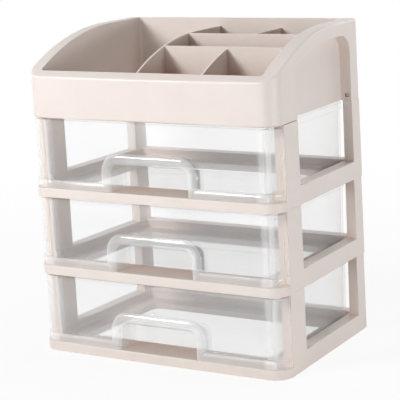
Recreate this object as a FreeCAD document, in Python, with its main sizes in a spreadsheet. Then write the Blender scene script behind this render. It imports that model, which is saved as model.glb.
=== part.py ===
import FreeCAD, Part
import math
import os
from types import SimpleNamespace

import Sketcher

# Desk organizer: three clear drawers in stacked frames, with an open sloping tray on top.
# Millimetres. Z is up, X runs across the front, the front faces -Y.
# The origin lies under the middle of the housing, on the surface that it stands on.

doc = FreeCAD.newDocument("drawer_organizer")
sheet = doc.addObject("Spreadsheet::Sheet", "Sizes")

SIZES = [
    ("width", 260.0, "housing across, half-way back, at a foot"),
    ("depth", 180.0, "housing from front to back, at a foot"),
    ("pitch", 75.0, "height of one tier, and of the tray"),
    ("front_corner", 16.0, "plan radius of the front corners"),
    ("rear_corner", 3.0, "plan radius of the rear corners"),
    ("bow", 0.9, "how far the front swells in the middle"),
    ("taper", 2.6, "how much wider each side is at the front, and narrower at the rear"),
    ("draft", 0.6, "how much each side leans in over one tier"),
    ("wall", 2.2, "wall thickness of the frames and the tray"),
    ("ledge", 9.0, "top of the shelf above the foot of its tier"),
    ("rail_top", 16.8, "top of the side and rear rails above the foot"),
    ("rail_width", 12.0, "side and rear rails from the outside to the inside"),
    ("post_width", 10.0, "posts across, from the outside to the inside"),
    ("overlay_depth", 18.0, "how far the front posts stand back from the front"),
    ("front_post", 27.5, "length of a front post along the side"),
    ("rear_post", 19.7, "length of a rear post along the side"),
    ("shelf_front", 32.0, "shelf from the front face to its opening"),
    ("shelf_side", 18.0, "shelf from a rail to its opening"),
    ("shelf_corner", 10.0, "corner radius of the shelf opening"),
    ("shelf_lip", 3.0, "how far the shelf's inner lip ends above the foot"),
    ("tongue_height", 7.0, "height of the tongues on the posts"),
    ("tongue_clearance", 0.35, "free space round a tongue in its socket"),
    ("catch_depth", 0.9, "how far the catch stands out from its tongue"),
    ("slot_low", 3.0, "lower edge of the catch slot above the foot"),
    ("slot_length", 4.8, "length of the catch slot"),
    ("slot_high", 6.5, "upper edge of the catch slot above the foot"),
    ("strip_edge", 0.9, "bevel of the front edges of a shelf"),
    ("slide_gap", 0.3, "free space between a drawer and the shelf"),
    ("top_gap", 2.2, "free space between a drawer and the tier above"),
    ("overlay_gap", 0.5, "free space between a drawer's front and the posts"),
    ("front_setback", 4.5, "drawer front behind the shelf's front"),
    ("side_setback", 1.5, "drawer front inside the housing's side"),
    ("clear_wall", 2.1, "wall thickness of a drawer"),
    ("tub_gap", 2.4, "free space between a drawer's wall and a rail"),
    ("tub_draft", 0.8, "how much a drawer's walls lean in at the bottom"),
    ("tub_corner", 7.0, "corner radius of a drawer"),
    ("rim_band", 0.9, "how far the drawer's rim stands out"),
    ("rim_height", 6.0, "height of the drawer's rim"),
    ("lip_height", 8.0, "height of the lip along a drawer's bottom edge"),
    ("lip_round", 3.0, "rounding of the lip's shoulder"),
    ("grip_half", 46.2, "middle of the handle to the crest of a leg"),
    ("grip_rise", 30.8, "crest of the handle above the drawer's bottom"),
    ("grip_corner", 14.0, "radius of the crest at the handle's corners"),
    ("grip_width", 11.6, "width of the handle's bead"),
    ("grip_height", 4.2, "how far the bead stands out of the front"),
    ("grip_land", 0.2, "edge left between the bead and the finger notch"),
    ("pocket_depth", 21.0, "finger pocket behind the drawer's front face"),
    ("tray_inset", 0.9, "how far the tray stands in from a tier's foot"),
    ("tray_floor", 3.0, "top of the tray's floor above its foot"),
    ("tray_under", 0.8, "underside of the tray's floor above its foot"),
    ("rim_radius", 230.0, "radius of the long arc of the tray's rim"),
    ("rim_centre", 36.0, "where that arc ends level, behind the middle"),
    ("band_side", 13.8, "rim of the tray at the sides"),
    ("band_front", 8.8, "rim of the tray at the front"),
    ("band_rear", 6.0, "rim of the tray at the rear"),
    ("cell_corner", 3.0, "corner radius inside the tray"),
    ("rim_outer_round", 2.4, "rounding of the rim's outer edge"),
    ("foot_edge", 1.2, "bevel under the front of the tray"),
    ("tub_thick", 3.0, "wall between the tray's inside and its recesses"),
    ("arch_drop", 12.8, "top of a side recess below the rim"),
    ("arch_front", 7.0, "radius of the recess's upper front corner"),
    ("arch_rear", 18.0, "radius of the recess's upper rear corner"),
    ("divider", 2.0, "thickness of the tray's dividers"),
    ("main_x", -19.0, "divider from front to back, across"),
    ("first_y", -19.5, "front cross divider, along"),
    ("second_y", 23.5, "rear cross divider, along"),
    ("divider_drop", 7.8, "tops of the dividers below the rim"),
    ("short_x", 48.2, "short dividers in the front and rear rows, across"),
    ("short_drop", 9.3, "tops of the short dividers below the rim"),
]
for row, (name, number, meaning) in enumerate(SIZES, start=1):
    sheet.set("A%d" % row, meaning)
    sheet.set("B%d" % row, str(number))
    sheet.setAlias("B%d" % row, name)
doc.recompute()


class Size:
    """A length that keeps its number together with the sheet formula that gives it."""

    def __init__(self, number, text):
        self.number = float(number)
        self.text = text

    def joined(self, sign, other, number):
        other_text = other.text if isinstance(other, Size) else str(float(other))
        return Size(number, "(%s %s %s)" % (self.text, sign, other_text))

    def __add__(self, other):
        return self.joined("+", other, self.number + value(other))

    def __sub__(self, other):
        return self.joined("-", other, self.number - value(other))

    def __mul__(self, other):
        return self.joined("*", other, self.number * value(other))

    def __truediv__(self, other):
        return self.joined("/", other, self.number / value(other))

    def __neg__(self):
        return Size(-self.number, "(0 - %s)" % self.text)

    def root(self):
        return Size(math.sqrt(self.number), "sqrt(%s)" % self.text)


def value(length):
    return length.number if isinstance(length, Size) else float(length)


size = SimpleNamespace(**{name: Size(number, "Sizes." + name) for name, number, _ in SIZES})
zero = Size(0.0, "0")

# Lengths that follow from the sheet.
half_width = size.width / 2
half_depth = size.depth / 2
bay_half = half_width - size.rail_width
bay_rear = half_depth - size.rail_width
post_inner = half_width - size.post_width
posts_front = size.overlay_depth - half_depth
window_front = posts_front + size.front_post
window_rear = half_depth - size.rear_post
core_inner = post_inner + size.wall
core_outer = half_width - size.tray_inset - size.wall
core_rear = half_depth - size.tray_inset - size.wall
opening_half = bay_half - size.shelf_side
opening_front = size.shelf_front - half_depth
opening_rear = bay_rear - size.shelf_side
slot_inner = core_outer - size.slot_length

drawer_height = size.pitch - size.ledge - size.slide_gap - size.top_gap
face = half_depth - size.front_setback
overlay_half = half_width - size.side_setback
overlay_back = posts_front - size.overlay_gap
tub_half = bay_half + size.rail_width - size.post_width - size.tub_gap - size.rim_band
tub_rear = bay_rear - size.rim_band - size.overlay_gap
notch_half = size.grip_half - size.grip_width / 2 - size.grip_land
notch_top = size.grip_rise - size.grip_width / 2 - size.grip_land
notch_corner = size.grip_corner - size.grip_width / 2 - size.grip_land
pocket_back = size.pocket_depth - face

tray_half = half_width - size.tray_inset
tray_back = half_depth - size.tray_inset
cell_half = tray_half - size.band_side
cell_front = size.band_front - tray_back
cell_rear = tray_back - size.band_rear
tub_outer = cell_half + size.tub_thick


def arc_height(radius, y, top):
    """Height at y of an arc about rim_centre that ends level at the given height."""
    run = size.rim_centre - y
    return top - radius + (radius * radius - run * run).root()


def on_rim(point):
    """Whether a point of the tray lies on the upper surface of its rim."""
    y = min(point.y, value(size.rim_centre))
    return near(point.z, arc_height(size.rim_radius, Size(y, str(y)), size.pitch))


def in_cells(point):
    """Whether a point of the tray lies on the edge of its inside or within it."""
    across = abs(point.x) < value(cell_half + size.taper)
    return across and value(cell_front) - 0.1 < point.y < value(cell_rear) + 0.1


def tapered(corners):
    """The corners of a plan, spread at the front and drawn in at the rear as the housing is."""
    share = size.taper / half_width / half_depth
    return [(corner[0] - corner[0] * corner[1] * share,) + tuple(corner[1:]) for corner in corners]


def origin_plane(body, role):
    return next(item for item in body.Origin.OriginFeatures if item.Role == role)


def new_sketch(body, name, role="XY_Plane", lift=zero, lean=None):
    """A sketch on one of the body's own origin planes, moved along the plane's normal.

    With a lean the plane is turned about its upright axis by that many degrees.
    """
    sketch = body.newObject("Sketcher::SketchObject", name)
    sketch.AttachmentSupport = [(origin_plane(body, role), "")]
    sketch.MapMode = "FlatFace"
    if lean is not None:
        turn = FreeCAD.Rotation(FreeCAD.Vector(0, 1, 0), 1)
        sketch.AttachmentOffset = FreeCAD.Placement(FreeCAD.Vector(), turn)
        sketch.setExpression(".AttachmentOffset.Rotation.Angle", lean)
    sketch.setExpression(".AttachmentOffset.Base.z", lift.text)
    return sketch


def bind(sketch, constraint, length):
    index = sketch.addConstraint(constraint)
    sketch.setExpression("Constraints[%d]" % index, length.text)


def draw(sketch, corners, closed=True):
    """Draw a chain of straight lines and round arcs through the corners.

    A corner is (x, y), or (x, y, radius, turn) when an arc leads to it from the corner before;
    turn is 1 for an arc that bends to the left on the way and -1 for one that bends right.
    """
    count = len(corners) if closed else len(corners) - 1
    first = sketch.GeometryCount
    ends = []
    for step in range(count):
        here = corners[step]
        there = corners[(step + 1) % len(corners)]
        start = FreeCAD.Vector(value(here[0]), value(here[1]), 0)
        finish = FreeCAD.Vector(value(there[0]), value(there[1]), 0)
        if len(there) == 2:
            sketch.addGeometry(Part.LineSegment(start, finish), False)
            ends.append((1, 2))
            continue
        radius = value(there[2])
        turn = there[3]
        chord = finish - start
        reach = math.sqrt(max(radius * radius - chord.Length * chord.Length / 4, 0.0))
        aside = FreeCAD.Vector(-chord.y, chord.x, 0) / chord.Length * reach * turn
        middle = (start + finish) / 2 + aside
        circle = Part.Circle(middle, FreeCAD.Vector(0, 0, 1), radius)
        angles = [math.atan2(p.y - middle.y, p.x - middle.x) for p in (start, finish)]
        if turn < 0:
            angles.reverse()
        if angles[1] < angles[0]:
            angles[1] += 2 * math.pi
        sketch.addGeometry(Part.ArcOfCircle(circle, angles[0], angles[1]), False)
        ends.append((1, 2) if turn > 0 else (2, 1))
    for step in range(count):
        piece = first + step
        if closed or step < count - 1:
            after = first + (step + 1) % count
            joint = (piece, ends[step][1], after, ends[(step + 1) % count][0])
            sketch.addConstraint(Sketcher.Constraint("Coincident", *joint))
        places = [(ends[step][0], corners[step])]
        if not closed and step == count - 1:
            places.append((ends[step][1], corners[step + 1]))
        for end, corner in places:
            bind(sketch, Sketcher.Constraint("DistanceX", -1, 1, piece, end, value(corner[0])), corner[0])
            bind(sketch, Sketcher.Constraint("DistanceY", -1, 1, piece, end, value(corner[1])), corner[1])
        goal = corners[(step + 1) % len(corners)]
        if len(goal) == 4:
            bind(sketch, Sketcher.Constraint("Radius", piece, value(goal[2])), goal[2])


def rectangle(left, right, low, high):
    return [(left, low), (right, low), (right, high), (left, high)]


def draw_plan(sketch, corners):
    draw(sketch, tapered(corners))


def draw_rounded(sketch, left, right, low, high, radius):
    """A tapered rectangle with four round corners."""
    draw_plan(sketch, [
        (left + radius, low, radius, 1),
        (right - radius, low),
        (right, low + radius, radius, 1),
        (right, high - radius),
        (right - radius, high, radius, 1),
        (left + radius, high),
        (left, high - radius, radius, 1),
        (left, low + radius),
    ])


def draw_tub(sketch, half, front, rear, radius):
    """Plan of a drawer's tub: square where it meets the front, round at the rear."""
    draw_plan(sketch, [
        (-half, front),
        (half, front),
        (half, rear - radius),
        (half - radius, rear, radius, 1),
        (radius - half, rear),
        (-half, rear - radius, radius, 1),
    ])


def draw_outline(sketch, inset):
    """Plan of the housing: tapered sides, round front corners, small rear corners, bowed front."""
    slant = size.taper / half_depth
    stretch = (slant * slant + 1).root()
    side = half_width - inset
    back = half_depth - inset
    big = size.front_corner
    small = size.rear_corner
    front = size.bow - back
    reach = side - slant * (front + big) - big * stretch
    swell = (reach * reach + size.bow * size.bow) / (size.bow * 2)
    front_side = reach + big / stretch
    front_end = front + big + big * slant / stretch
    rear_reach = side - slant * (back - small) - small * stretch
    rear_side = rear_reach + small / stretch
    rear_end = back - small + small * slant / stretch
    draw(sketch, [
        (-rear_side, rear_end, small, 1),
        (-front_side, front_end),
        (-reach, front, big, 1),
        (reach, front, swell, 1),
        (front_side, front_end, big, 1),
        (rear_side, rear_end),
        (rear_reach, back, small, 1),
        (-rear_reach, back),
    ])


def draw_slots(sketch):
    """Plan of the two slots in the front walls of the rear posts, where the catches sit."""
    low = window_rear - size.wall / 2
    high = window_rear + size.wall * 2
    draw_plan(sketch, rectangle(slot_inner, core_outer, low, high))
    draw_plan(sketch, rectangle(-core_outer, -slot_inner, low, high))


def pad(body, name, sketch, length):
    feature = body.newObject("PartDesign::Pad", name)
    feature.Profile = sketch
    feature.setExpression("Length", length.text)
    return feature


def cut(body, name, sketch, length=None, upward=True):
    """Cut away along the sketch's normal, or against it; without a length it goes right through."""
    feature = body.newObject("PartDesign::Pocket", name)
    feature.Profile = sketch
    feature.Reversed = upward
    if length is None:
        feature.Type = "ThroughAll"
    else:
        feature.setExpression("Length", length.text)
    return feature


def loft(body, kind, name, low, high):
    feature = body.newObject("PartDesign::" + kind, name)
    feature.Profile = low
    feature.Sections = [high]
    feature.Ruled = True
    return feature


def ease_edges(body, kind, name, base, amount, wanted):
    """Fillet or chamfer those edges of the last feature that the test accepts."""
    doc.recompute()
    names = []
    for number, edge in enumerate(base.Shape.Edges, start=1):
        span = edge.LastParameter - edge.FirstParameter
        points = [edge.valueAt(edge.FirstParameter + span * part) for part in (0.1, 0.5, 0.9)]
        if all(wanted(point) for point in points):
            names.append("Edge%d" % number)
    if not names:
        raise RuntimeError("no edge found for " + name)
    feature = body.newObject("PartDesign::" + kind, name)
    feature.Base = (base, names)
    feature.setExpression("Radius" if kind == "Fillet" else "Size", amount.text)
    return feature


def near(number, length, slack=0.05):
    return abs(number - value(length)) < slack


def new_body(label):
    body = doc.addObject("PartDesign::Body", label)
    body.Label = label
    return body


def rail_frame(label, level):
    """One tier: a ring with a shelf for the drawer, low rails on three sides and four posts."""
    body = new_body(label)
    foot = new_sketch(body, label + "_foot")
    draw_outline(foot, zero)
    top = new_sketch(body, label + "_top", lift=size.pitch)
    draw_outline(top, size.draft)
    loft(body, "AdditiveLoft", label + "_block", foot, top)

    far = size.width
    bay = new_sketch(body, label + "_bay_plan", lift=size.ledge)
    draw_plan(bay, rectangle(-bay_half, bay_half, -far, bay_rear))
    cut(body, label + "_bay", bay)
    front = new_sketch(body, label + "_front_plan", lift=size.ledge)
    draw_plan(front, rectangle(-far, far, -far, posts_front))
    cut(body, label + "_front_gap", front)
    across = new_sketch(body, label + "_rear_plan", lift=size.rail_top)
    draw_plan(across, rectangle(-post_inner, post_inner, -far, far))
    cut(body, label + "_rear_window", across)
    along = new_sketch(body, label + "_side_plan", lift=size.rail_top)
    draw_plan(along, rectangle(-far, far, window_front, window_rear))
    cut(body, label + "_side_windows", along)
    hole = new_sketch(body, label + "_shelf_plan")
    draw_rounded(hole, -opening_half, opening_half, opening_front, opening_rear, size.shelf_corner)
    cut(body, label + "_shelf_opening", hole)

    under = new_sketch(body, label + "_under_plan")
    draw_outline(under, size.wall)
    lip = size.shelf_corner + size.wall
    draw_rounded(under, -opening_half - size.wall, opening_half + size.wall,
                 opening_front - size.wall, opening_rear + size.wall, lip)
    cut(body, label + "_under_shelf", under, size.ledge - size.wall)
    short = new_sketch(body, label + "_lip_plan")
    draw_rounded(short, -opening_half - size.wall, opening_half + size.wall,
                 opening_front - size.wall, opening_rear + size.wall, lip)
    cut(body, label + "_short_lip", short, size.shelf_lip)

    channels = new_sketch(body, label + "_channel_plan")
    for left, right in ((bay_half + size.wall, core_outer), (-core_outer, -bay_half - size.wall)):
        draw_plan(channels, rectangle(left, right, window_front, window_rear))
    draw_plan(channels, rectangle(-bay_half, bay_half, bay_rear + size.wall, core_rear))
    cut(body, label + "_rail_channels", channels, size.rail_top - size.wall)
    cores = new_sketch(body, label + "_core_plan")
    for left, right in ((core_inner, core_outer), (-core_outer, -core_inner)):
        draw_plan(cores, rectangle(left, right, window_rear + size.wall, core_rear))
        draw_plan(cores, rectangle(left, right, posts_front + size.wall, window_front - size.wall))
    cut(body, label + "_post_cores", cores, size.pitch - size.wall)

    gap = size.tongue_clearance
    tongues = new_sketch(body, label + "_tongue_plan", lift=size.pitch)
    catches = new_sketch(body, label + "_catch_plan", lift=size.pitch + size.slot_low + gap)
    for left, right in ((core_inner + gap, core_outer - gap), (gap - core_outer, -core_inner - gap)):
        rear_start = window_rear + size.wall + gap
        draw_plan(tongues, rectangle(left, right, rear_start, core_rear - gap))
        draw_plan(tongues, rectangle(left, right, posts_front + size.wall + gap,
                                     window_front - size.wall - gap))
        draw_plan(catches, rectangle(left + gap, right - gap, rear_start - size.catch_depth,
                                     rear_start + size.catch_depth))
    pad(body, label + "_tongues", tongues, size.tongue_height)
    pad(body, label + "_catches", catches, size.slot_high - size.slot_low - gap * 2)
    slots = new_sketch(body, label + "_slot_plan", lift=size.slot_low)
    draw_slots(slots)
    last = cut(body, label + "_catch_slots", slots, size.slot_high - size.slot_low)

    ease_edges(body, "Chamfer", label + "_strip_edges", last, size.strip_edge,
               lambda p: near(p.z, size.ledge) and p.y < value(posts_front) - 0.5
               and abs(p.x) < value(half_width) + 1
               and (p.y < 2 - value(half_depth) or abs(p.x) > value(bay_half) + 0.5))
    body.setExpression(".Placement.Base.z", (size.pitch * level).text)
    return body


def draw_lip(sketch, share):
    """Plan of the lip round a drawer's front; share is how much of its full width stands out."""
    half = overlay_half + (half_width - size.slide_gap * 2 - overlay_half) * share
    front = size.bow - face - (size.front_setback - size.slide_gap * 2) * share
    corner = overlay_back - front
    reach = half - corner
    swell = (reach * reach + size.bow * size.bow) / (size.bow * 2)
    inner = overlay_half - size.clear_wall / 2
    back = size.bow - face + size.clear_wall / 2
    inner_corner = overlay_back - back
    inner_reach = inner - inner_corner
    inner_swell = (inner_reach * inner_reach + size.bow * size.bow) / (size.bow * 2)
    draw_plan(sketch, [
        (-half, overlay_back),
        (-reach, front, corner, 1),
        (reach, front, swell, 1),
        (half, overlay_back, corner, 1),
        (inner, overlay_back),
        (inner_reach, back, inner_corner, -1),
        (-inner_reach, back, inner_swell, -1),
        (-inner, overlay_back, inner_corner, -1),
    ])


def clear_drawer(label, level):
    """A clear drawer: overlay front with an arched handle over a finger pocket, and a thin tub."""
    body = new_body(label)
    side = overlay_half
    front = size.bow - face
    corner = overlay_back - front
    reach = side - corner
    swell = (reach * reach + size.bow * size.bow) / (size.bow * 2)
    skin = size.clear_wall

    plate = new_sketch(body, label + "_front_plan")
    draw_plan(plate, [
        (-side, overlay_back),
        (corner - side, front, corner, 1),
        (reach, front, swell, 1),
        (side, overlay_back, corner, 1),
        (side - skin, overlay_back),
        (reach, front + skin, corner - skin, -1),
        (corner - side, front + skin, swell - skin, -1),
        (skin - side, overlay_back, corner - skin, -1),
    ])
    pad(body, label + "_front", plate, drawer_height)

    tub_front = front + skin / 2
    low = new_sketch(body, label + "_tub_foot")
    foot_half = tub_half - size.tub_draft
    draw_tub(low, foot_half, tub_front, tub_rear - size.tub_draft, size.tub_corner)
    high = new_sketch(body, label + "_tub_top", lift=drawer_height)
    draw_tub(high, tub_half, tub_front, tub_rear, size.tub_corner)
    loft(body, "AdditiveLoft", label + "_tub", low, high)
    band = new_sketch(body, label + "_rim_plan", lift=drawer_height - size.rim_height)
    edge = size.rim_band
    draw_tub(band, tub_half + edge, tub_front + skin / 4, tub_rear + edge, size.tub_corner + edge)
    pad(body, label + "_rim", band, size.rim_height)

    low = new_sketch(body, label + "_inside_foot", lift=skin)
    inner = size.tub_corner - skin
    draw_tub(low, foot_half - skin, front + skin, tub_rear - size.tub_draft - skin, inner)
    high = new_sketch(body, label + "_inside_top", lift=drawer_height)
    draw_tub(high, tub_half - skin, front + skin, tub_rear - skin, inner)
    loft(body, "SubtractiveLoft", label + "_inside", low, high)

    sections = []
    for angle in (0, 30, 60, 80):
        rise = size.lip_height - size.lip_round * (1 - math.sin(math.radians(angle)))
        section = new_sketch(body, "%s_lip_plan_%d" % (label, angle), lift=rise)
        draw_lip(section, math.cos(math.radians(angle)))
        sections.append(section)
    base = new_sketch(body, label + "_lip_foot")
    draw_lip(base, 1)
    pad(body, label + "_lip", base, size.lip_height - size.lip_round)
    shoulder = loft(body, "AdditiveLoft", label + "_lip_shoulder", sections[0], sections[1])
    shoulder.Sections = sections[1:]
    notch = new_sketch(body, label + "_lip_gap_plan")
    far = size.depth
    draw(notch, rectangle(-size.grip_half, size.grip_half, -far, -face))
    cut(body, label + "_lip_gap", notch, size.lip_height)

    path = new_sketch(body, label + "_grip_path", "XZ_Plane", face)
    turn = size.grip_corner
    draw(path, [
        (-size.grip_half, zero),
        (-size.grip_half, size.grip_rise - turn),
        (turn - size.grip_half, size.grip_rise, turn, -1),
        (size.grip_half - turn, size.grip_rise),
        (size.grip_half, size.grip_rise - turn, turn, -1),
        (size.grip_half, zero),
    ], closed=False)
    bead = new_sketch(body, label + "_grip_section")
    half = size.grip_width / 2
    crown = (half * half + size.grip_height * size.grip_height) / (size.grip_height * 2)
    draw(bead, [
        (-size.grip_half - half, skin / 2 - face),
        (-size.grip_half - half, -face),
        (half - size.grip_half, -face, crown, 1),
        (half - size.grip_half, skin / 2 - face),
    ])
    pipe = body.newObject("PartDesign::AdditivePipe", label + "_grip")
    pipe.Profile = bead
    pipe.Spine = (path, ["Edge%d" % number for number in range(1, 6)])
    pipe.Transition = "Round corner"

    hood = new_sketch(body, label + "_hood_outline", "XZ_Plane", -pocket_back - skin)
    draw_arch(hood, notch_half + skin, notch_top + skin, notch_corner + skin, zero)
    pad(body, label + "_hood", hood, size.pocket_depth + skin / 2)
    pocket = new_sketch(body, label + "_pocket_outline", "XZ_Plane", -pocket_back)
    draw_arch(pocket, notch_half, notch_top, notch_corner, -skin)
    cut(body, label + "_pocket", pocket)
    lift = size.pitch * level + size.ledge + size.slide_gap
    body.setExpression(".Placement.Base.z", lift.text)
    return body


def draw_arch(sketch, half, top, corner, foot):
    """An upright opening with a flat foot and two round upper corners."""
    draw(sketch, [
        (-half, foot),
        (half, foot),
        (half, top - corner),
        (half - corner, top, corner, 1),
        (corner - half, top),
        (-half, top - corner, corner, 1),
    ])


def draw_divider(sketch, start, finish, drop):
    """Side of a divider between two places along: its top follows the rim, further down."""
    radius = size.rim_radius - drop
    level = size.pitch - drop
    foot = (size.tray_floor + size.tray_under) / 2
    corners = [(start, foot), (finish, foot)]
    if value(finish) > value(size.rim_centre):
        corners += [(finish, level), (size.rim_centre, level)]
    else:
        corners.append((finish, arc_height(radius, finish, level)))
    corners.append((start, arc_height(radius, start, level), radius, 1))
    draw(sketch, corners)


def draw_recess(sketch):
    """Side recess: open at the foot, with a top that runs along under the rim."""
    radius = size.rim_radius - size.arch_drop
    top = size.pitch - size.arch_drop
    front = window_front
    rear = window_rear
    small = size.arch_front
    large = size.arch_rear
    turn_y = front + small
    turn_z = arc_height(radius, turn_y, top)
    end_y = rear - large
    foot = -size.wall
    draw(sketch, [
        (front, foot),
        (rear, foot),
        (rear, top - large),
        (end_y, top, large, 1),
        (size.rim_centre, top),
        (turn_y, turn_z, radius, 1),
        (front, turn_z - small, small, 1),
    ])


def open_tray(label):
    """The tray: a tub with six compartments inside a skirt that stands on the upper posts."""
    shell = new_body(label + "_shell")
    foot = new_sketch(shell, label + "_foot")
    draw_outline(foot, size.tray_inset)
    top = new_sketch(shell, label + "_top", lift=size.pitch)
    draw_outline(top, size.tray_inset + size.draft)
    loft(shell, "AdditiveLoft", label + "_block", foot, top)

    inside = new_sketch(shell, label + "_inside_plan", lift=size.tray_floor)
    draw_rounded(inside, -cell_half, cell_half, cell_front, cell_rear, size.cell_corner)
    cut(shell, label + "_inside", inside)

    far = size.width
    start = -half_depth - size.wall
    above = new_sketch(shell, label + "_rim_line", "YZ_Plane", -far)
    draw(above, [
        (start, arc_height(size.rim_radius, start, size.pitch)),
        (size.rim_centre, size.pitch, size.rim_radius, -1),
        (size.rim_centre, size.pitch * 2),
        (start, size.pitch * 2),
    ])
    rim = cut(shell, label + "_rim_cut", above)
    ease_edges(shell, "Fillet", label + "_rim_outer", rim, size.rim_outer_round,
               lambda p: on_rim(p) and not in_cells(p))

    gap = size.divider / 2
    bite = size.tub_thick / 2
    lengthwise = [
        ("main", size.main_x, cell_front - bite, cell_rear + bite, size.divider_drop),
        ("front", size.short_x, cell_front - bite, size.first_y, size.short_drop),
        ("rear", size.short_x, size.second_y, cell_rear + bite, size.short_drop),
    ]
    for name, across, begin, end, drop in lengthwise:
        side = new_sketch(shell, "%s_%s_divider_side" % (label, name), "YZ_Plane", across - gap)
        draw_divider(side, begin, end, drop)
        pad(shell, "%s_%s_divider" % (label, name), side, size.divider)
    level = size.pitch - size.divider_drop
    radius = size.rim_radius - size.divider_drop
    for name, along in (("first", size.first_y), ("second", size.second_y)):
        face_view = new_sketch(shell, "%s_%s_cross_view" % (label, name), "XZ_Plane", -along - gap)
        top_edge = arc_height(radius, along, level)
        draw(face_view, rectangle(size.main_x, cell_half + bite, size.tray_under * 2, top_edge))
        pad(shell, "%s_%s_cross" % (label, name), face_view, size.divider)

    under = new_sketch(shell, label + "_under_plan")
    draw_plan(under, rectangle(-cell_half, cell_half, cell_front, cell_rear))
    cut(shell, label + "_under", under, size.tray_under)
    lean = "atan(Sizes.taper / (Sizes.depth / 2))"
    right = new_sketch(shell, label + "_recess_right", "YZ_Plane", tub_outer, lean)
    draw_recess(right)
    cut(shell, label + "_right_recess", right)
    left = new_sketch(shell, label + "_recess_left", "YZ_Plane", -tub_outer, "-" + lean)
    draw_recess(left)
    recess = cut(shell, label + "_left_recess", left, upward=False)
    ease_edges(shell, "Chamfer", label + "_foot_edge", recess, size.foot_edge,
               lambda p: near(p.z, zero) and p.y < value(window_front)
               and (p.y < value(cell_front) - 1.5 or abs(p.x) > value(tub_outer) + 2))
    slots = new_sketch(shell, label + "_slot_plan", lift=size.slot_low)
    draw_slots(slots)
    cut(shell, label + "_catch_slots", slots, size.slot_high - size.slot_low)

    core = new_body(label + "_core")
    side = new_sketch(core, label + "_core_side", "YZ_Plane", -far)
    thin = size.rim_radius - size.wall
    below = size.pitch - size.wall
    draw(side, [
        (start, -size.wall),
        (half_depth + size.wall, -size.wall),
        (half_depth + size.wall, below),
        (size.rim_centre, below),
        (start, arc_height(thin, start, below), thin, 1),
    ])
    pad(core, label + "_core_block", side, far * 2)
    skirt = new_sketch(core, label + "_skirt_plan", lift=-size.width)
    draw_plan(skirt, rectangle(-far * 2, far * 2, -far, far))
    draw_outline(skirt, size.tray_inset + size.wall)
    cut(core, label + "_skirt", skirt)
    tub = new_sketch(core, label + "_tub_plan", lift=-size.width)
    draw_plan(tub, rectangle(-tub_outer, tub_outer, cell_front - size.tub_thick, far))
    cut(core, label + "_tub", tub)
    middle = new_sketch(core, label + "_middle_plan", lift=-size.width)
    draw_plan(middle, rectangle(-far, far, window_front - size.wall, window_rear + size.wall))
    cut(core, label + "_middle", middle)

    tray = doc.addObject("Part::Cut", label)
    tray.Label = label
    tray.Base = shell
    tray.Tool = core
    tray.setExpression(".Placement.Base.z", (size.pitch * 3).text)
    return tray


parts = []
for number, place in enumerate(("bottom", "middle", "top")):
    parts.append(rail_frame("frame_" + place, number))
    parts.append(clear_drawer("drawer_" + place, number))
parts.append(open_tray("tray"))
doc.recompute()

for item in doc.Objects:
    if "Invalid" in item.State or "Error" in item.State:
        raise RuntimeError("%s could not be built" % item.Name)
for item in parts:
    if item.Shape.isNull() or not item.Shape.isValid() or len(item.Shape.Solids) != 1:
        raise RuntimeError("%s is not one valid solid" % item.Label)

os.makedirs("parts", exist_ok=True)
for item in parts:
    item.Shape.exportStep("parts/%s.step" % item.Label)
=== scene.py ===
import math

import bpy
from mathutils import Matrix, Vector

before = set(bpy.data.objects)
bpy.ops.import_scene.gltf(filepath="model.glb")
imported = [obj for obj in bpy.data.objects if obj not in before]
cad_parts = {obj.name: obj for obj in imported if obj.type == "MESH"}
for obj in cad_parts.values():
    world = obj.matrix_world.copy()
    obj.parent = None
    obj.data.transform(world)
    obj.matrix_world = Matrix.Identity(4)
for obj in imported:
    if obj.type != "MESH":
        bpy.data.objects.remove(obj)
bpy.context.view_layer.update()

# The housing is a pale pinkish cream moulding, the drawers are clear plastic.
# Colours are linear, lengths are in metres and the lamps' power is in watts.
WHITE = (1, 1, 1, 1)
CREAM_DEEP = (0.735, 0.658, 0.612, 1)
CREAM_LIGHT = (0.765, 0.688, 0.642, 1)
# Colour of the painted shade in hollows.
CREAM_PAINTED_SHADE = (0.64, 0.45, 0.35, 1)
# Colour of the painted highlights on edges.
CREAM_PAINTED_HIGHLIGHT = (0.86, 0.80, 0.755, 1)
CLEAR_HAZE = (0.965, 0.975, 0.985, 1)
CLEAR_LIGHT_LOSS = (0.97, 0.97, 0.97, 1)
FLOOR_PALE = (0.9, 0.9, 0.9, 1)

# How strongly the housing's cloudy tone, painted highlights on edges and painted shade in the hollows
# show.
CLOUD_SPAN = (0.3, 0.7)
HOUSING_GLOSS = (0.44, 0.54)
HOUSING_IOR = 1.75
PAINTED_HIGHLIGHT_SHARE = 0.35
PAINTED_SHADE_REACH = 0.07
PAINTED_SHADE_SAMPLES = 6
PAINTED_SHADE_SPAN = (0.5, 0.1, 0.0, 0.9)

# Where the clear plastic's cover is denser, from haze and from painted light: two places on the
# drawer's own axes that each cover runs between.
HANDLE_Y = (-0.0862, -0.0872)
FRONT_Y = (-0.068, -0.073)
FRONT_END_X = (0.110, 0.114)
REAR_WALL_Y = (0.055, 0.065)
BOTTOM_DRAWER_Z = (0.085, 0.075)

# How much each of them adds to the plastic's cover.
THIN_HAZE = 0.06
HAZE_SWING = 0.01
FRONT_HAZE = 0.05
CORNER_HAZE = 0.16
# Painted light: a paler cover on the rear walls and the bottom drawer lightens the shaded shelf bands
# seen behind them.
REAR_PAINTED_LIGHT = 0.06
LOW_PAINTED_LIGHT = 0.03
THICK_HAZE = 0.22
# Painted highlight: a whiter cover along the edges.
EDGE_PAINTED_HIGHLIGHT = 0.3
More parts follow.
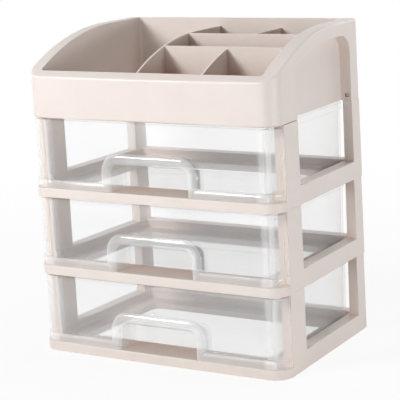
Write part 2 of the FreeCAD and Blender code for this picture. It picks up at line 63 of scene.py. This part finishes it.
# The extra cover at glancing angles is haze and a painted sheen in place of reflections.
SLANT_POWER = 3.0
SLANT_COVER = 0.25
SLANT_HANDLE_COVER = 0.5
CLEAR_CLOUD_SPAN = (0.35, 0.75)
CLEAR_GLOSS = (0.06, 0.1)
CLEAR_IOR = 1.9

# The grain, waves and clouds of the moulded surface.
GRAIN_DEPTH = 0.00004
WAVE_DEPTH = 0.0004
BEVEL_SAMPLES = 6
EDGE_TURN = (0.995, 0.86)
EDGE_BREAKS = (0.42, 0.62, 0.25, 1.0)

# Floor and surroundings: the glow is only what the camera sees, and is weaker near the object,
# where the floor keeps its shadow.
FLOOR_REACH = 6.0
FLOOR_DROP = 0.0002
FLOOR_GLOW_SPAN = (0.25, 0.9, 0.9, 1.0)
SURROUND_LIGHT = 0.03

# Lamps: name, place, what it is aimed at, width, height, power.
LAMPS = (
    ("key", (-0.9, -1.3, 1.0), (0, 0, 0.15), 0.6, 0.6, 24),
    ("fill", (0.1, -1.8, 0.15), (0, 0, 0.15), 0.8, 0.8, 6),
    ("side", (1.7, -0.3, 0.17), (0, 0, 0.15), 1.2, 0.3, 12),
    ("back", (0.2, 1.3, 0.55), (0, 0, 0.1), 1.2, 0.4, 6),
    ("top", (0.3, 0.3, 1.5), (0, 0, 0.15), 0.8, 0.8, 6),
)

# The photograph's view: 32 degrees to the right, 12 degrees above, slightly tilted.
VIEW_AZIMUTH = math.radians(31.78)
VIEW_ELEVATION = math.radians(12.01)
VIEW_ROLL = math.radians(-3.002)
VIEW_CENTRE = (-0.001009, 0, 0.1361)
VIEW_DISTANCE = 1.471
SENSOR_WIDTH = 36.0
FOCAL_PIXELS = 1549
IMAGE_PIXELS = 400
NEAR_CLIP = 0.05
FAR_CLIP = 50.0


def new_material(name):
    """An empty material with nodes."""
    material = bpy.data.materials.new(name)
    material.use_nodes = True
    material.node_tree.nodes.clear()
    return material


def give(tree, socket, given):
    """Link a socket to the input, or set the input to a value."""
    if isinstance(given, bpy.types.NodeSocket):
        tree.links.new(given, socket)
    else:
        socket.default_value = given


def node(tree, kind, **inputs):
    """A node of that kind with its named inputs set to values or linked to sockets."""
    made = tree.nodes.new(kind)
    for name, given in inputs.items():
        give(tree, made.inputs[name.replace("_", " ")], given)
    return made


def math_node(tree, operation, first, second=0.0, third=0.0):
    """The result of one sum on values or sockets."""
    made = tree.nodes.new("ShaderNodeMath")
    made.operation = operation
    for socket, given in zip(made.inputs, (first, second, third)):
        give(tree, socket, given)
    return made.outputs[0]


def ramp(tree, fac, low, high, to_low=0.0, to_high=1.0):
    """A value mapped from one range to another and held at its ends."""
    made = tree.nodes.new("ShaderNodeMapRange")
    tree.links.new(fac, made.inputs["Value"])
    for name, given in (("From Min", low), ("From Max", high), ("To Min", to_low), ("To Max", to_high)):
        made.inputs[name].default_value = given
    return made.outputs["Result"]


def mix_colour(tree, fac, first, second):
    """The first colour where fac is 0 and the second where it is 1."""
    made = tree.nodes.new("ShaderNodeMix")
    made.data_type = "RGBA"
    tree.links.new(fac, made.inputs["Factor"])
    # Inputs 6 and 7 and output 2 are the node's colour sockets.
    give(tree, made.inputs[6], first)
    give(tree, made.inputs[7], second)
    return made.outputs[2]


def mix_shader(tree, fac, first, second):
    """The first shader where fac is 0 and the second where it is 1."""
    made = tree.nodes.new("ShaderNodeMixShader")
    for socket, given in zip(made.inputs, (fac, first.outputs[0], second.outputs[0])):
        tree.links.new(given, socket)
    return made


def end_with(tree, kind, shader):
    """The output node of a material or the world."""
    out = tree.nodes.new(kind)
    tree.links.new(shader.outputs[0], out.inputs["Surface"])


def object_place(tree):
    """Coordinates on the object's own axes, which move with it."""
    return tree.nodes.new("ShaderNodeTexCoord").outputs["Object"]


def moulded_skin():
    """Node group: fine grain of moulded plastic, softened edges and a mask of edges, broken up by
    clouds, that carries painted highlights.
    """
    tree = bpy.data.node_groups.new("moulded_skin", "ShaderNodeTree")
    inputs = (("Radius", 0.0008), ("Grain", 0.1), ("Grain Scale", 900.0), ("Wave", 0.05))
    for name, default in inputs:
        socket = tree.interface.new_socket(name=name, in_out="INPUT", socket_type="NodeSocketFloat")
        socket.default_value = default
    for name, kind in (("Normal", "Vector"), ("Edge", "Float"), ("Cloud", "Float")):
        tree.interface.new_socket(name=name, in_out="OUTPUT", socket_type="NodeSocket" + kind)
    given = tree.nodes.new("NodeGroupInput").outputs
    result = tree.nodes.new("NodeGroupOutput").inputs
    place = object_place(tree)
    geometry = tree.nodes.new("ShaderNodeNewGeometry")
    grain = node(tree, "ShaderNodeTexNoise", Vector=place, Scale=given["Grain Scale"], Detail=2.0)
    wave = node(tree, "ShaderNodeTexNoise", Vector=place, Scale=14.0, Detail=1.0)
    cloud = node(tree, "ShaderNodeTexNoise", Vector=place, Scale=30.0, Detail=4.0, Roughness=0.6)
    soft = node(tree, "ShaderNodeBevel", Radius=given["Radius"])
    soft.samples = BEVEL_SAMPLES
    dented = node(tree, "ShaderNodeBump", Strength=given["Wave"], Distance=WAVE_DEPTH,
                  Height=wave.outputs["Fac"], Normal=soft.outputs["Normal"])
    grained = node(tree, "ShaderNodeBump", Strength=given["Grain"], Distance=GRAIN_DEPTH,
                   Height=grain.outputs["Fac"], Normal=dented.outputs["Normal"])
    tree.links.new(grained.outputs["Normal"], result["Normal"])
    turn = tree.nodes.new("ShaderNodeVectorMath")
    turn.operation = "DOT_PRODUCT"
    tree.links.new(soft.outputs["Normal"], turn.inputs[0])
    tree.links.new(geometry.outputs["Normal"], turn.inputs[1])
    edge = ramp(tree, turn.outputs["Value"], *EDGE_TURN)
    broken = ramp(tree, cloud.outputs["Fac"], *EDGE_BREAKS)
    tree.links.new(math_node(tree, "MULTIPLY", edge, broken), result["Edge"])
    tree.links.new(cloud.outputs["Fac"], result["Cloud"])
    return tree


SKIN = moulded_skin()


def skin(tree, **settings):
    """The moulded skin with its own radius, grain and waves."""
    made = tree.nodes.new("ShaderNodeGroup")
    made.node_tree = SKIN
    for name, given in settings.items():
        made.inputs[name].default_value = given
    return made.outputs


def housing_plastic():
    """Satin pinkish cream plastic: cloudy tone, painted shade that darkens and browns the hollows,
    painted highlights that pale the edges, fine mould grain.
    """
    material = new_material("housing_plastic")
    tree = material.node_tree
    parts = skin(tree, Radius=0.0007, Grain=0.12, Wave=0.04)
    tone = mix_colour(tree, ramp(tree, parts["Cloud"], *CLOUD_SPAN), CREAM_DEEP, CREAM_LIGHT)
    # Painted shade: the colour turns darker and browner in hollows, where less light reaches.
    shade_probe = node(tree, "ShaderNodeAmbientOcclusion", Distance=PAINTED_SHADE_REACH)
    shade_probe.samples = PAINTED_SHADE_SAMPLES
    painted_shade = ramp(tree, shade_probe.outputs["AO"], *PAINTED_SHADE_SPAN)
    tone = mix_colour(tree, painted_shade, tone, CREAM_PAINTED_SHADE)
    # Painted highlight: the edges turn a paler cream.
    painted_highlight = math_node(tree, "MULTIPLY", parts["Edge"], PAINTED_HIGHLIGHT_SHARE)
    colour = mix_colour(tree, painted_highlight, tone, CREAM_PAINTED_HIGHLIGHT)
    gloss = ramp(tree, parts["Cloud"], *CLOUD_SPAN, *HOUSING_GLOSS)
    shader = node(tree, "ShaderNodeBsdfPrincipled", Base_Color=colour, Roughness=gloss,
                  Normal=parts["Normal"], IOR=HOUSING_IOR)
    end_with(tree, "ShaderNodeOutputMaterial", shader)
    return material


def clear_plastic():
    """Clear plastic with a faint cool haze, denser in some places; painted light on the rear walls and
    the bottom drawer, painted highlights on edges, and haze with a painted sheen at glancing angles.
    """
    material = new_material("clear_plastic")
    tree = material.node_tree
    parts = skin(tree, Radius=0.0006, Grain=0.02, Wave=0.03)
    place = node(tree, "ShaderNodeSeparateXYZ", Vector=object_place(tree)).outputs
    handle = ramp(tree, place["Y"], *HANDLE_Y)
    front = ramp(tree, place["Y"], *FRONT_Y)
    ends = ramp(tree, math_node(tree, "ABSOLUTE", place["X"]), *FRONT_END_X)
    corner = math_node(tree, "MULTIPLY", front, ends)
    rear = ramp(tree, place["Y"], *REAR_WALL_Y)
    low = ramp(tree, place["Z"], *BOTTOM_DRAWER_Z)
    view = node(tree, "ShaderNodeLayerWeight", Blend=0.5, Normal=parts["Normal"])
    # Haze and painted sheen at glancing angles.
    slant = math_node(tree, "POWER", view.outputs["Facing"], SLANT_POWER)
    slant_cover = math_node(tree, "MULTIPLY_ADD", handle, SLANT_HANDLE_COVER, SLANT_COVER)
    glancing_haze_and_sheen = math_node(tree, "MULTIPLY", slant, slant_cover)
    cloud = ramp(tree, parts["Cloud"], *CLOUD_SPAN, THIN_HAZE - HAZE_SWING, THIN_HAZE + HAZE_SWING)
    body = math_node(tree, "ADD", glancing_haze_and_sheen, math_node(tree, "MULTIPLY_ADD", handle, THICK_HAZE, cloud))
    # The rear and low masks add painted light, the edge mask adds painted highlights along the edges,
    # and the front and corner masks add haze.
    masks = ((front, FRONT_HAZE), (corner, CORNER_HAZE), (rear, REAR_PAINTED_LIGHT), (low, LOW_PAINTED_LIGHT),
             (parts["Edge"], EDGE_PAINTED_HIGHLIGHT))
    for mask, haze in masks:
        body = math_node(tree, "MULTIPLY_ADD", mask, haze, body)
    gloss = ramp(tree, parts["Cloud"], *CLEAR_CLOUD_SPAN, *CLEAR_GLOSS)
    shader = node(tree, "ShaderNodeBsdfPrincipled", Base_Color=CLEAR_HAZE, Roughness=gloss,
                  Normal=parts["Normal"], Alpha=body, IOR=CLEAR_IOR)
    through = node(tree, "ShaderNodeBsdfTransparent", Color=CLEAR_LIGHT_LOSS)
    path = tree.nodes.new("ShaderNodeLightPath").outputs
    unseen = math_node(tree, "MAXIMUM", path["Is Shadow Ray"], path["Is Diffuse Ray"])
    end_with(tree, "ShaderNodeOutputMaterial", mix_shader(tree, unseen, shader, through))
    return material


HOUSING = housing_plastic()
CLEAR = clear_plastic()
for name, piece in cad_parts.items():
    piece.data.materials[0] = CLEAR if name.startswith("drawer") else HOUSING


def seen_rays(tree):
    """1 for what the camera sees directly, in a reflection or through clear plastic."""
    path = tree.nodes.new("ShaderNodeLightPath").outputs
    both = math_node(tree, "MAXIMUM", path["Is Camera Ray"], path["Is Glossy Ray"])
    return math_node(tree, "MAXIMUM", both, path["Is Transmission Ray"])


def build_floor():
    """A wide pale floor that takes a soft shadow."""
    mesh = bpy.data.meshes.new("floor")
    corners = [(x * FLOOR_REACH, y * FLOOR_REACH, 0) for x, y in ((-1, -1), (1, -1), (1, 1), (-1, 1))]
    mesh.from_pydata(corners, [], [(0, 1, 2, 3)])
    floor = bpy.data.objects.new("floor", mesh)
    bpy.context.collection.objects.link(floor)
    floor.location.z = -FLOOR_DROP
    material = new_material("floor_white")
    tree = material.node_tree
    plain = node(tree, "ShaderNodeBsdfDiffuse", Color=FLOOR_PALE)
    glow = node(tree, "ShaderNodeEmission", Color=WHITE, Strength=1.0)
    away = tree.nodes.new("ShaderNodeVectorMath")
    away.operation = "LENGTH"
    tree.links.new(object_place(tree), away.inputs[0])
    glow_share = ramp(tree, away.outputs["Value"], *FLOOR_GLOW_SPAN)
    share = math_node(tree, "MULTIPLY", seen_rays(tree), glow_share)
    end_with(tree, "ShaderNodeOutputMaterial", mix_shader(tree, share, plain, glow))
    mesh.materials.append(material)


def build_world():
    """Faint even light from all round; what the camera sees of it is plain white."""
    world = bpy.data.worlds.new("studio")
    bpy.context.scene.world = world
    world.use_nodes = True
    tree = world.node_tree
    tree.nodes.clear()
    strength = ramp(tree, seen_rays(tree), 0.0, 1.0, SURROUND_LIGHT, 1.0)
    back = node(tree, "ShaderNodeBackground", Color=WHITE, Strength=strength)
    end_with(tree, "ShaderNodeOutputWorld", back)


def build_lamp(name, place, target, width, height, power):
    """A soft rectangular lamp aimed at a point."""
    data = bpy.data.lights.new(name, "AREA")
    data.shape = "RECTANGLE"
    data.size = width
    data.size_y = height
    data.energy = power
    made = bpy.data.objects.new(name, data)
    bpy.context.collection.objects.link(made)
    made.location = place
    made.rotation_mode = "QUATERNION"
    made.rotation_quaternion = (Vector(target) - Vector(place)).to_track_quat("-Z", "Y")


def build_camera():
    """A camera that stands where the photograph was taken from."""
    level = math.cos(VIEW_ELEVATION)
    back = Vector((math.sin(VIEW_AZIMUTH) * level, -math.cos(VIEW_AZIMUTH) * level,
                   math.sin(VIEW_ELEVATION)))
    right = Vector((math.cos(VIEW_AZIMUTH), math.sin(VIEW_AZIMUTH), 0))
    up = back.cross(right)
    across = right * math.cos(VIEW_ROLL) + up * math.sin(VIEW_ROLL)
    upright = up * math.cos(VIEW_ROLL) - right * math.sin(VIEW_ROLL)
    place = Vector(VIEW_CENTRE) + back * VIEW_DISTANCE
    data = bpy.data.cameras.new("camera")
    data.sensor_width = SENSOR_WIDTH
    data.lens = FOCAL_PIXELS / IMAGE_PIXELS * SENSOR_WIDTH
    data.clip_start = NEAR_CLIP
    data.clip_end = FAR_CLIP
    camera = bpy.data.objects.new("camera", data)
    bpy.context.collection.objects.link(camera)
    camera.matrix_world = Matrix((
        (across.x, upright.x, back.x, place.x),
        (across.y, upright.y, back.y, place.y),
        (across.z, upright.z, back.z, place.z),
        (0, 0, 0, 1),
    ))
    bpy.context.scene.camera = camera


build_floor()
build_world()
for lamp in LAMPS:
    build_lamp(*lamp)
build_camera()
bpy.context.scene.view_settings.view_transform = "Standard"
